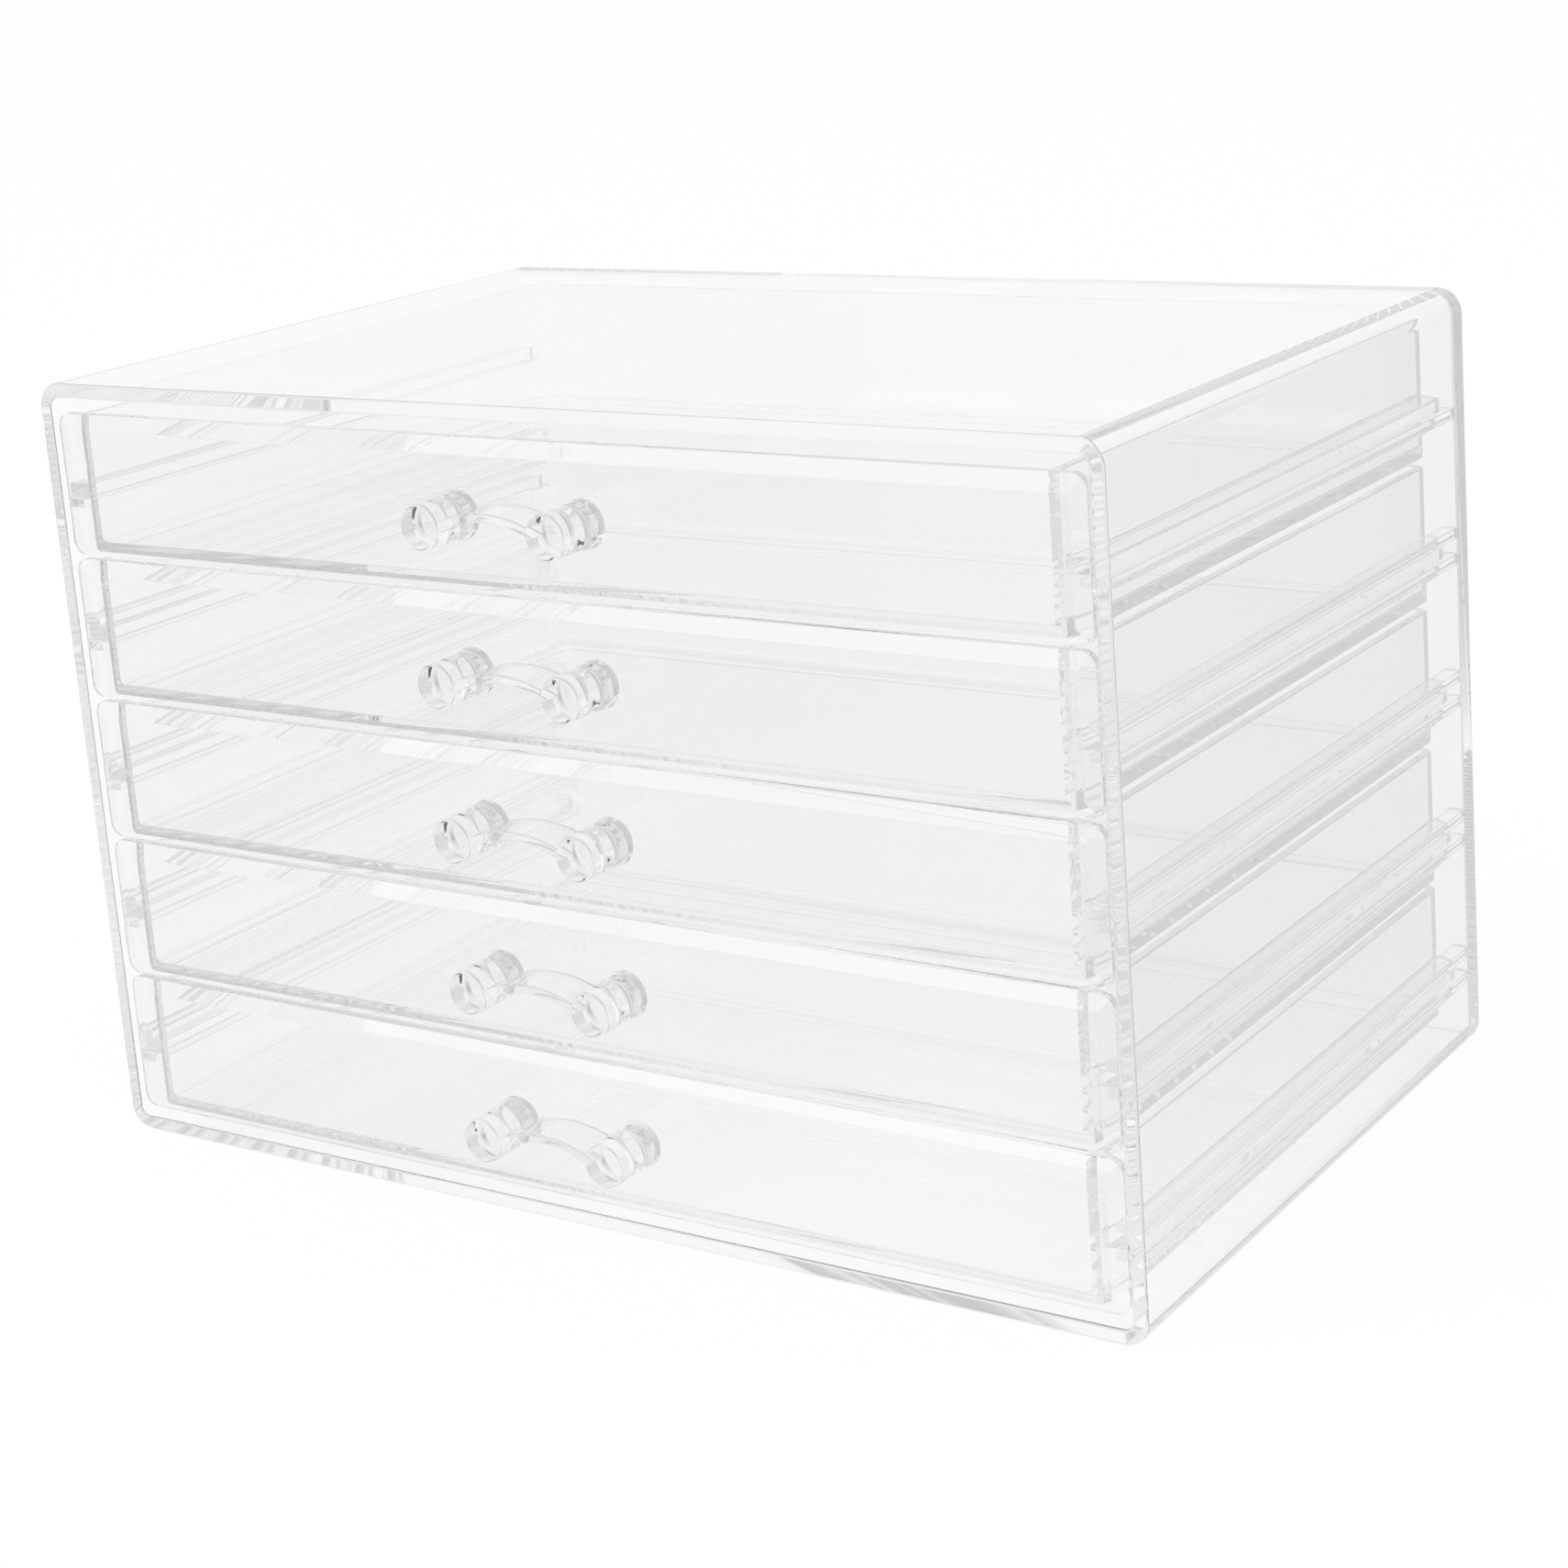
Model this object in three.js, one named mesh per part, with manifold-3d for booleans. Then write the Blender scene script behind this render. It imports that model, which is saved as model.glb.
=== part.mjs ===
// Clear acrylic desktop box with five shallow drawers.
// Millimetres, +Z up. X runs across the front, the drawers pull out towards -Y, and the origin lies
// under the middle of the whole box, on the surface that it stands on.
import * as THREE from "three";
import { RoundedBoxGeometry } from "three/addons/geometries/RoundedBoxGeometry.js";
import { mergeVertices } from "three/addons/utils/BufferGeometryUtils.js";
import Module from "manifold-3d";

const wasm = await Module();
wasm.setup();

// Case
const CASE_WIDTH = 240;
const CASE_DEPTH = 151.5;
const CASE_WALL = 3;
const CASE_EDGE_RADIUS = 5; // of the four long edges, from front to back
const CASE_BACK_RADIUS = 2; // of the edges round the back
const CASE_INNER_RADIUS = 2;

// Drawer fronts, from which the height of the case follows
const DRAWER_COUNT = 5;
const FRONT_HEIGHT = 29.05;
const FRONT_THICKNESS = 2.5;
const FRONT_CORNER_RADIUS = 3;
const FRONT_BEVEL_WIDTH = 3.3;
const FRONT_BEVEL_DEPTH = 0.8;
const GAP_BETWEEN_FRONTS = 0.65;
const GAP_BESIDE_FRONTS = 0.7;
const GAP_ABOVE_FRONTS = 3.1;
const GAP_BELOW_FRONTS = 2.05;

// Drawer trays
const TRAY_WALL = 2;
const TRAY_FLOOR = 2;
const TRAY_LIFT = 1.05; // tray floor above the lower edge of its front
const TRAY_CORNER_RADIUS = 3;
const TRAY_TO_CASE_SIDE = 6.3;
const TRAY_TO_CASE_BACK = 0.5;

// Runners on the trays and the rails of the case that carry them
const RUNNER_THICKNESS = 3;
const RUNNER_BELOW_FRONT_TOP = 16; // middle of the runner under the upper edge of its front
const RUNNER_SIDE_GAP = 0.7;
const RUNNER_FRONT_SETBACK = 0.8;
const RUNNER_REAR_SETBACK = 1.5;
const RUNNER_CLEARANCE = 0.3;
const RAIL_THICKNESS = 1.7;
const RAIL_TO_TRAY = 2.3;
const RAIL_FRONT_GAP = 0.5;

// Handles
const POST_SPACING = 28.5;
const POST_REACH = 11.5;
const POST_RADIUS = 4.35;
const POST_RIM_RADIUS = 0.6;
const POST_WAIST_RADIUS = 3.6;
const POST_WAIST_WIDTH = 0.9;
const POST_FOOT_RADIUS = 4.75;
const POST_FOOT_HEIGHT = 4;
const SPIGOT_RADIUS = 2.5;
const SPIGOT_CLEARANCE = 0.3;
const BRIDGE_TOP = 3.4; // above the axes of the posts
const BRIDGE_TOP_RISE = 1.9;
const BRIDGE_MIDDLE_THICKNESS = 1.8;
const BRIDGE_UNDERSIDE_RISE = 2.3;
const BRIDGE_FRONT_SETBACK = 0.5;
const BRIDGE_TO_FRONT = 2.2; // finger room between the bridge and the drawer front
const BRIDGE_ROOT = 2.5; // how far the bridge runs into each post

// Film of cement between glued pieces
const CEMENT_FILM = 0.1;

// How finely rounds are faceted
const CASE_ROUND_STEPS = 3;
const BACK_ROUND_STEPS = 2;
const CORNER_STEPS = 4;
const RIM_STEPS = 2;
const POST_SIDES = 24;
const HOLE_SIDES = 16;
const BRIDGE_STEPS = 8;

// Sizes that follow from the ones above
const CASE_HEIGHT =
  2 * CASE_WALL +
  GAP_BELOW_FRONTS +
  GAP_ABOVE_FRONTS +
  DRAWER_COUNT * FRONT_HEIGHT +
  (DRAWER_COUNT - 1) * GAP_BETWEEN_FRONTS;
const INNER_WIDTH = CASE_WIDTH - 2 * CASE_WALL;
const INNER_HEIGHT = CASE_HEIGHT - 2 * CASE_WALL;
const RIM_Y = POST_REACH - (CASE_DEPTH + POST_REACH) / 2; // plane of the case's front rim
const BACK_Y = RIM_Y + CASE_DEPTH;
const FRONT_WIDTH = INNER_WIDTH - 2 * GAP_BESIDE_FRONTS;
const FRONT_PITCH = FRONT_HEIGHT + GAP_BETWEEN_FRONTS;
const FRONT_BACK_Y = RIM_Y + FRONT_THICKNESS;
const TRAY_HALF_WIDTH = INNER_WIDTH / 2 - TRAY_TO_CASE_SIDE;
const TRAY_FRONT_Y = FRONT_BACK_Y + CEMENT_FILM;
const TRAY_BACK_Y = BACK_Y - CASE_WALL - TRAY_TO_CASE_BACK;
const RUNNER_HALF_SPAN = INNER_WIDTH / 2 - RUNNER_SIDE_GAP;
const RAIL_INNER_X = TRAY_HALF_WIDTH + RAIL_TO_TRAY;
const RAIL_OFFSET = RUNNER_THICKNESS / 2 + RUNNER_CLEARANCE + RAIL_THICKNESS / 2;
const POST_X = POST_SPACING / 2;

// Overrun of cutting shapes past the faces that they cut, and of added shapes into their carrier
const CUT_OVERRUN = CASE_WALL;
const ROOT_DEPTH = CASE_WALL / 2;
const TRAY_ROOT_DEPTH = TRAY_WALL / 2;

// A closed three.js geometry as a solid that can be joined and cut.
function solidOf(geometry) {
  const bare = geometry.clone();
  bare.deleteAttribute("normal");
  bare.deleteAttribute("uv");
  const welded = mergeVertices(bare);
  const corners = welded.index.array;
  const faces = [];
  for (let i = 0; i < corners.length; i += 3) {
    const [a, b, c] = corners.slice(i, i + 3);
    if (a !== b && b !== c && c !== a) faces.push(a, b, c);
  }
  return new wasm.Manifold(
    new wasm.Mesh({
      numProp: 3,
      vertProperties: new Float32Array(welded.attributes.position.array),
      triVerts: new Uint32Array(faces),
    }),
  );
}

// A finished solid as a named mesh.
function meshOf(solid, name, material) {
  const { vertProperties, triVerts } = solid.getMesh();
  const geometry = new THREE.BufferGeometry();
  geometry.setAttribute("position", new THREE.BufferAttribute(new Float32Array(vertProperties), 3));
  geometry.setIndex(new THREE.BufferAttribute(new Uint32Array(triVerts), 1));
  geometry.computeVertexNormals();
  const mesh = new THREE.Mesh(geometry, material);
  mesh.name = name;
  return mesh;
}

// A box between two corners.
function block(low, high) {
  const size = new THREE.Vector3().subVectors(high, low);
  const middle = new THREE.Vector3().addVectors(low, high).multiplyScalar(1 / 2);
  const box = new THREE.BoxGeometry(size.x, size.y, size.z);
  return solidOf(box.translate(middle.x, middle.y, middle.z));
}

// An outline drawn across X and Z, made a plate that ends at the plane y = back.
function plate(outline, back, thickness, steps) {
  const slab = new THREE.ExtrudeGeometry(outline, {
    depth: thickness,
    bevelEnabled: false,
    curveSegments: steps,
  });
  return solidOf(slab.rotateX(Math.PI / 2).translate(0, back, 0));
}

// A rectangle about the origin with rounded corners.
function roundedRectangle(width, height, radius) {
  const shape = new THREE.Shape();
  const x = width / 2 - radius;
  const y = height / 2 - radius;
  const quarter = Math.PI / 2;
  shape.absarc(x, y, radius, 0, quarter);
  shape.absarc(-x, y, radius, quarter, 2 * quarter);
  shape.absarc(-x, -y, radius, 2 * quarter, 3 * quarter);
  shape.absarc(x, -y, radius, 3 * quarter, 4 * quarter);
  return shape;
}

// Clear plastics, colourless and glossy
function clearPlastic(colour, roughness, opacity) {
  return new THREE.MeshStandardMaterial({ color: colour, roughness, metalness: 0, transparent: true, opacity });
}

// Upper edge of a drawer front, counted from the top drawer
function frontTop(index) {
  return CASE_HEIGHT - CASE_WALL - GAP_ABOVE_FRONTS - index * FRONT_PITCH;
}

// Shell open at the front, its outer edges rounded, with a pair of rails at each side for every runner.
// The upper rail is left out over the top drawer.
function caseShell() {
  const outerDepth = CASE_DEPTH + CASE_EDGE_RADIUS + CUT_OVERRUN;
  const backFace = roundedRectangle(
    CASE_WIDTH - 2 * CASE_BACK_RADIUS,
    CASE_HEIGHT - 2 * CASE_BACK_RADIUS,
    CASE_EDGE_RADIUS - CASE_BACK_RADIUS,
  );
  const body = new THREE.ExtrudeGeometry(backFace, {
    depth: outerDepth,
    curveSegments: CASE_ROUND_STEPS,
    bevelEnabled: true,
    bevelThickness: CASE_BACK_RADIUS,
    bevelSize: CASE_BACK_RADIUS,
    bevelSegments: BACK_ROUND_STEPS,
  });
  body.rotateX(Math.PI / 2).translate(0, BACK_Y - CASE_BACK_RADIUS, CASE_HEIGHT / 2);
  const outer = solidOf(body);
  const hollow = solidOf(
    new RoundedBoxGeometry(INNER_WIDTH, outerDepth, INNER_HEIGHT, CASE_ROUND_STEPS, CASE_INNER_RADIUS).translate(
      0,
      BACK_Y - CASE_WALL - outerDepth / 2,
      CASE_HEIGHT / 2,
    ),
  );
  const beforeRim = block(
    new THREE.Vector3(-CASE_WIDTH, RIM_Y - 2 * outerDepth, -CASE_HEIGHT),
    new THREE.Vector3(CASE_WIDTH, RIM_Y, 2 * CASE_HEIGHT),
  );
  let shell = outer.subtract(hollow).subtract(beforeRim);
  for (let index = 0; index < DRAWER_COUNT; index += 1) {
    const runnerZ = frontTop(index) - RUNNER_BELOW_FRONT_TOP;
    const railHeights = index === 0 ? [runnerZ - RAIL_OFFSET] : [runnerZ - RAIL_OFFSET, runnerZ + RAIL_OFFSET];
    for (const z of railHeights) {
      for (const side of [-1, 1]) {
        const inner = side * RAIL_INNER_X;
        const outerX = side * (INNER_WIDTH / 2 + ROOT_DEPTH);
        const rail = block(
          new THREE.Vector3(Math.min(inner, outerX), FRONT_BACK_Y + RAIL_FRONT_GAP, z - RAIL_THICKNESS / 2),
          new THREE.Vector3(Math.max(inner, outerX), BACK_Y - CASE_WALL + ROOT_DEPTH, z + RAIL_THICKNESS / 2),
        );
        shell = shell.add(rail);
      }
    }
  }
  return shell;
}

// Drawer front: a plate with rounded corners, a shallow mitred bevel all round its face, and two holes
// for the spigots of the handle.
function drawerFront(middleZ) {
  const outline = roundedRectangle(FRONT_WIDTH, FRONT_HEIGHT, FRONT_CORNER_RADIUS);
  const slab = plate(outline, FRONT_BACK_Y, FRONT_THICKNESS, CORNER_STEPS);
  const faceHalfWidth = FRONT_WIDTH / 2 - FRONT_BEVEL_WIDTH;
  const faceHalfHeight = FRONT_HEIGHT / 2 - FRONT_BEVEL_WIDTH;
  const face = new THREE.Shape();
  face.moveTo(-faceHalfWidth, -faceHalfHeight);
  face.lineTo(faceHalfWidth, -faceHalfHeight);
  face.lineTo(faceHalfWidth, faceHalfHeight);
  face.lineTo(-faceHalfWidth, faceHalfHeight);
  face.closePath();
  const bevelled = new THREE.ExtrudeGeometry(face, {
    depth: FRONT_THICKNESS + CUT_OVERRUN,
    bevelEnabled: true,
    bevelThickness: FRONT_BEVEL_DEPTH,
    bevelSize: FRONT_BEVEL_WIDTH,
    bevelSegments: 1,
  });
  bevelled.rotateX(-Math.PI / 2).translate(0, RIM_Y + FRONT_BEVEL_DEPTH, 0);
  let front = slab.intersect(solidOf(bevelled));
  for (const side of [-1, 1]) {
    const hole = new THREE.CylinderGeometry(
      SPIGOT_RADIUS + SPIGOT_CLEARANCE,
      SPIGOT_RADIUS + SPIGOT_CLEARANCE,
      FRONT_THICKNESS + 2 * CUT_OVERRUN,
      HOLE_SIDES,
    );
    front = front.subtract(solidOf(hole.translate(side * POST_X, RIM_Y + FRONT_THICKNESS / 2, 0)));
  }
  return front.translate([0, 0, middleZ]);
}

// Drawer tray: open box behind the front, its rim level with the front's upper edge, with a runner on
// each side.
function drawerTray(middleZ) {
  const rimZ = FRONT_HEIGHT / 2;
  const floorZ = TRAY_LIFT - FRONT_HEIGHT / 2;
  const plan = (halfWidth, front, back, radius) => {
    const shape = new THREE.Shape();
    shape.moveTo(-halfWidth, front);
    shape.lineTo(halfWidth, front);
    shape.absarc(halfWidth - radius, back - radius, radius, 0, Math.PI / 2);
    shape.absarc(radius - halfWidth, back - radius, radius, Math.PI / 2, Math.PI);
    shape.closePath();
    return shape;
  };
  const upright = (outline, bottom, top) => {
    const geometry = new THREE.ExtrudeGeometry(outline, {
      depth: top - bottom,
      bevelEnabled: false,
      curveSegments: CORNER_STEPS,
    });
    return solidOf(geometry.translate(0, 0, bottom));
  };
  const outer = upright(plan(TRAY_HALF_WIDTH, TRAY_FRONT_Y, TRAY_BACK_Y, TRAY_CORNER_RADIUS), floorZ, rimZ);
  const inner = upright(
    plan(
      TRAY_HALF_WIDTH - TRAY_WALL,
      TRAY_FRONT_Y - CUT_OVERRUN,
      TRAY_BACK_Y - TRAY_WALL,
      TRAY_CORNER_RADIUS - TRAY_WALL,
    ),
    floorZ + TRAY_FLOOR,
    rimZ + CUT_OVERRUN,
  );
  let tray = outer.subtract(inner);
  const runnerZ = rimZ - RUNNER_BELOW_FRONT_TOP;
  for (const side of [-1, 1]) {
    const rootX = side * (TRAY_HALF_WIDTH - TRAY_ROOT_DEPTH);
    const tipX = side * RUNNER_HALF_SPAN;
    const runner = block(
      new THREE.Vector3(
        Math.min(rootX, tipX),
        TRAY_FRONT_Y + RUNNER_FRONT_SETBACK,
        runnerZ - RUNNER_THICKNESS / 2,
      ),
      new THREE.Vector3(
        Math.max(rootX, tipX),
        TRAY_BACK_Y - TRAY_CORNER_RADIUS - RUNNER_REAR_SETBACK,
        runnerZ + RUNNER_THICKNESS / 2,
      ),
    );
    tray = tray.add(runner);
  }
  return tray.translate([0, 0, middleZ]);
}

// One turned post of the handle, along Y: rounded front rim, barrel, narrow waist, flared foot and the
// spigot that goes through the drawer front.
function handlePost() {
  const frontY = RIM_Y - POST_REACH;
  const footY = RIM_Y - CEMENT_FILM;
  const waistY = footY - POST_FOOT_HEIGHT;
  const profile = [new THREE.Vector2(0, frontY)];
  for (let step = 0; step <= RIM_STEPS; step += 1) {
    const turn = ((Math.PI / 2) * step) / RIM_STEPS;
    profile.push(
      new THREE.Vector2(
        POST_RADIUS - POST_RIM_RADIUS * (1 - Math.sin(turn)),
        frontY + POST_RIM_RADIUS * (1 - Math.cos(turn)),
      ),
    );
  }
  profile.push(
    new THREE.Vector2(POST_RADIUS, waistY - POST_WAIST_WIDTH / 2),
    new THREE.Vector2(POST_WAIST_RADIUS, waistY),
    new THREE.Vector2(POST_RADIUS, waistY + POST_WAIST_WIDTH / 2),
    new THREE.Vector2(POST_FOOT_RADIUS, footY),
    new THREE.Vector2(SPIGOT_RADIUS, footY),
    new THREE.Vector2(SPIGOT_RADIUS, FRONT_BACK_Y),
    new THREE.Vector2(0, FRONT_BACK_Y),
  );
  return solidOf(new THREE.LatheGeometry(profile, POST_SIDES));
}

// The arched bridge between the posts, drawn across X and Z: its top and its underside are arcs that
// rise between the posts.
function handleBridge() {
  const halfSpan = POST_X - POST_RADIUS;
  const endX = halfSpan + BRIDGE_ROOT;
  const arc = (apex, rise) => {
    const radius = (halfSpan ** 2 + rise ** 2) / (2 * rise);
    const turn = Math.asin(endX / radius);
    return { centre: apex - radius, radius, start: Math.PI / 2 + turn, end: Math.PI / 2 - turn };
  };
  const top = arc(BRIDGE_TOP, BRIDGE_TOP_RISE);
  const underside = arc(BRIDGE_TOP - BRIDGE_MIDDLE_THICKNESS, BRIDGE_UNDERSIDE_RISE);
  const shape = new THREE.Shape();
  shape.absarc(0, top.centre, top.radius, top.start, top.end, true);
  shape.absarc(0, underside.centre, underside.radius, underside.end, underside.start, false);
  shape.closePath();
  const backY = RIM_Y - BRIDGE_TO_FRONT;
  const frontY = RIM_Y - POST_REACH + BRIDGE_FRONT_SETBACK;
  return plate(shape, backY, backY - frontY, BRIDGE_STEPS);
}

// Handle: two posts and their bridge in one moulding.
function drawerHandle(middleZ) {
  const post = handlePost();
  return handleBridge()
    .add(post.translate([-POST_X, 0, 0]))
    .add(post.translate([POST_X, 0, 0]))
    .translate([0, 0, middleZ]);
}

const box = new THREE.Group();
box.add(meshOf(caseShell(), "case_shell", clearPlastic(0xf1f4f5, 0.06, 0.28)));
for (let index = 0; index < DRAWER_COUNT; index += 1) {
  const middleZ = frontTop(index) - FRONT_HEIGHT / 2;
  const number = index + 1;
  box.add(
    meshOf(drawerTray(middleZ), `drawer_tray_${number}`, clearPlastic(0xeef2f4, 0.08, 0.28)),
    meshOf(drawerFront(middleZ), `drawer_front_${number}`, clearPlastic(0xf3f6f7, 0.04, 0.35)),
    meshOf(drawerHandle(middleZ), `drawer_handle_${number}`, clearPlastic(0xf7f9fa, 0.03, 0.45)),
  );
}

export default box;
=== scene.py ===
"""Clear acrylic desktop box with five shallow drawers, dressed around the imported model.

Lengths are written in millimetres and become metres where a surface is put into its mesh. X runs across
the front, the drawers pull out towards -Y, and Z is up.
"""

import math

import bmesh
import bpy
import numpy as np
from mathutils import Matrix, Vector


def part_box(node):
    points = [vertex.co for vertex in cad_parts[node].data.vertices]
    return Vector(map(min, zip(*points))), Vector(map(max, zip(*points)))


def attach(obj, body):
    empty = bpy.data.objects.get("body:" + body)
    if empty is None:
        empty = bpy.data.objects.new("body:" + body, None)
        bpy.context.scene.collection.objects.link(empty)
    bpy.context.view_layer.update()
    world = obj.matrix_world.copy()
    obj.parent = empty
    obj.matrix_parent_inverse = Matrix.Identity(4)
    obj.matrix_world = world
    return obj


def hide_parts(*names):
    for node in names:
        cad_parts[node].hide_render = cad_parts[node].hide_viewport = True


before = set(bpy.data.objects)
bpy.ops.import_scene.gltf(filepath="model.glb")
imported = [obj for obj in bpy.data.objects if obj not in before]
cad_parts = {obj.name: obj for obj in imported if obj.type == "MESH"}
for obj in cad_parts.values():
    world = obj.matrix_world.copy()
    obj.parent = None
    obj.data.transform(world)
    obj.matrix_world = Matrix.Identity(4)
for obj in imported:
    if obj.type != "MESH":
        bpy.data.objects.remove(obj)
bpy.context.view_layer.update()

MM = 0.001
QUARTER = math.pi / 2
WELD_DISTANCE = 0.0005  # points closer than this are one
FLAT_NORMAL = 0.99  # of a face that looks straight back

# Steps of a quarter circle, by the size of the round, and points round a circle
FINE_STEPS = 10
CORNER_STEPS = 8
EDGE_STEPS = 4
TINY_STEPS = 3
BRIDGE_EDGE_STEPS = 5
HOLE_SIDES = 48
POST_SIDES = 64
FOOT_STEPS = 12
BRIDGE_STEPS = 48

# Case
CASE_WALL = 3.0
CASE_EDGE_RADIUS = 5.0
CASE_INNER_RADIUS = 2.0
BACK_EDGE_RADIUS = 2.0
RIM_EDGE_RADIUS = 0.5
DRAWERS = (1, 2, 3, 4, 5)

# Drawer fronts
FRONT_CORNER_RADIUS = 3.0
FRONT_BEVEL_WIDTH = 3.3
FRONT_BEVEL_DEPTH = 0.8
FRONT_EDGE_RADIUS = 0.25
CREASE_HALF_WIDTH = 0.2
BEVEL_ROWS = (1.2, 2.2)  # insets of the rows of points on the bevel

# Drawer trays
TRAY_WALL = 2.0
TRAY_FLOOR = 2.0
TRAY_CORNER_RADIUS = 3.0
TRAY_FOOT_RADIUS = 0.8
TRAY_RIM_RADIUS = 0.4
TRAY_HALF_WIDTH = 110.7
SMEAR_WIDTH = 1.6
JOINT_WIDTH = 1.0

# Runners on the trays and the rails that carry them
RUNNER_THICKNESS = 3.0
RUNNER_BELOW_FRONT_TOP = 16.0
RUNNER_FRONT_SETBACK = 0.8
RUNNER_REAR_SETBACK = 1.5
RUNNER_TAPER = 2.0
RUNNER_END_SHARE = 0.35
RUNNER_CLEARANCE = 0.3
RUNNER_EDGE_RADIUS = 0.5
RAIL_THICKNESS = 1.7
RAIL_TO_TRAY = 2.3
RAIL_FRONT_GAP = 0.5
RAIL_EDGE_RADIUS = 0.45
ROOT_FILLET = 0.35

# Handles
POST_SPACING = 28.5
POST_REACH = 11.5
POST_RADIUS = 4.35
POST_RIM_RADIUS = 0.5
POST_WAIST_RADIUS = 3.75
POST_WAIST_WIDTH = 0.5
POST_NECK_RADIUS = 4.0
POST_FOOT_RADIUS = 4.75
POST_FOOT_HEIGHT = 4.0
SPIGOT_RADIUS = 2.5
BRIDGE_TOP = 3.4
BRIDGE_TOP_RISE = 1.9
BRIDGE_MIDDLE_THICKNESS = 1.8
BRIDGE_UNDERSIDE_RISE = 2.3
BRIDGE_FRONT_SETBACK = 0.5
BRIDGE_TO_FRONT = 2.2
BRIDGE_ROOT = 2.5
BRIDGE_EDGE_RADIUS = 0.5
CEMENT_FILM = 0.1

# Places of the materials on a piece: bare plastic, cemented face, pressed-out cement, full contact
MOULDED, CEMENTED, SMEARED, JOINED = 0, 1, 2, 3

# Angle in degrees past which an edge stays hard
CASE_SHARP = TRAY_SHARP = 35.0
FRONT_SHARP = 12.0
HANDLE_SHARP = 30.0


def corners(node):
    """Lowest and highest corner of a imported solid, in millimetres."""
    low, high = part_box(node)
    return np.array(low) / MM, np.array(high) / MM


CASE_LOW, CASE_HIGH = corners("case_shell")
RIM_Y, BACK_Y = CASE_LOW[1], CASE_HIGH[1]
RUNNER_HALF_SPAN = corners("drawer_tray_1")[1][0]


# Camera


def place_camera():
    """Camera at the viewing angle of the photograph: azimuth, elevation and roll turn the view, and a
    small shift puts the principal point where the photograph has it."""
    azimuth, elevation, roll = math.radians(33.124), math.radians(13.544), math.radians(-3.992)
    place = Vector((357.98, -434.60 + RIM_Y, 257.83)) * MM
    focal_pixels, frame_pixels, principal = 3457.9, 1710.0, (950.0, 630.0)
    back = Vector(
        (
            math.sin(azimuth) * math.cos(elevation),
            -math.cos(azimuth) * math.cos(elevation),
            math.sin(elevation),
        )
    )
    right = (-back).cross(Vector((0, 0, 1))).normalized()
    up = right.cross(-back)
    level_right = math.cos(roll) * right + math.sin(roll) * up
    level_up = -math.sin(roll) * right + math.cos(roll) * up
    data = bpy.data.cameras.new("camera")
    data.sensor_width = 36.0
    data.lens = data.sensor_width * focal_pixels / frame_pixels
    data.shift_x = 0.5 - principal[0] / frame_pixels
    data.shift_y = principal[1] / frame_pixels - 0.5
    data.clip_start, data.clip_end = 0.01, 50.0
    camera = bpy.data.objects.new("camera", data)
    turn = Matrix((level_right, level_up, back)).transposed()
    camera.matrix_world = Matrix.Translation(place) @ turn.to_4x4()
    bpy.context.scene.collection.objects.link(camera)
    bpy.context.scene.camera = camera


# Materials

ACRYLIC_IOR = 1.49


def linear(code):
    """An sRGB hex colour as linear red, green, blue and a full alpha."""
    parts = [int(code[i : i + 2], 16) / 255 for i in (1, 3, 5)]
    return tuple(c / 12.92 if c <= 0.04045 else ((c + 0.055) / 1.055) ** 2.4 for c in parts) + (1.0,)


def add(tree, kind, settings=None, links=None):
    """One node: settings go to its sockets or else to the node itself, and links join sockets of other
    nodes to its own."""
    node = tree.nodes.new(kind)
    for name, value in (settings or {}).items():
        if isinstance(name, int) or name in node.inputs:
            node.inputs[name].default_value = value
        else:
            setattr(node, name, value)
    for name, source in (links or {}).items():
        tree.links.new(source, node.inputs[name])
    return node


def clear_plastic(name, colour, waves, ior=ACRYLIC_IOR):
    """Clear colourless plastic with glossy faces. Each wave is an unevenness of the face, with its length
    and its height in millimetres and its detail."""
    material = bpy.data.materials.new(name)
    material.use_nodes = True
    tree = material.node_tree
    tree.nodes.clear()
    place = add(tree, "ShaderNodeTexCoord")
    normal = None
    for length, height, detail in waves:
        wave = add(
            tree,
            "ShaderNodeTexNoise",
            {"Scale": 1 / (length * MM), "Detail": detail, "Roughness": 0.45},
            {"Vector": place.outputs["Object"]},
        )
        bump = add(
            tree,
            "ShaderNodeBump",
            {"Strength": 1.0, "Distance": height * MM},
            {"Height": wave.outputs["Fac"], **({"Normal": normal} if normal else {})},
        )
        normal = bump.outputs["Normal"]
    surface = add(
        tree,
        "ShaderNodeBsdfPrincipled",
        {
            "Base Color": linear(colour),
            "Roughness": 0.0,
            "IOR": ior,
            "Transmission Weight": 1.0,
        },
        {"Normal": normal} if normal else None,
    )
    add(tree, "ShaderNodeOutputMaterial", None, {"Surface": surface.outputs["BSDF"]})
    return material


# Surfaces


def arc(start, end, steps):
    """Angles from start to end in equal steps, both ends included."""
    return np.linspace(start, end, steps + 1)


def woven(rows, columns, around=False):
    """Quads between neighbouring points of a grid, with the last column joined to the first where the
    grid goes around."""
    index = np.arange(rows * columns).reshape(rows, columns)
    if around:
        index = np.hstack([index, index[:, :1]])
    return np.stack([index[:-1, :-1], index[:-1, 1:], index[1:, 1:], index[1:, :-1]], -1).reshape(-1, 4)


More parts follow.
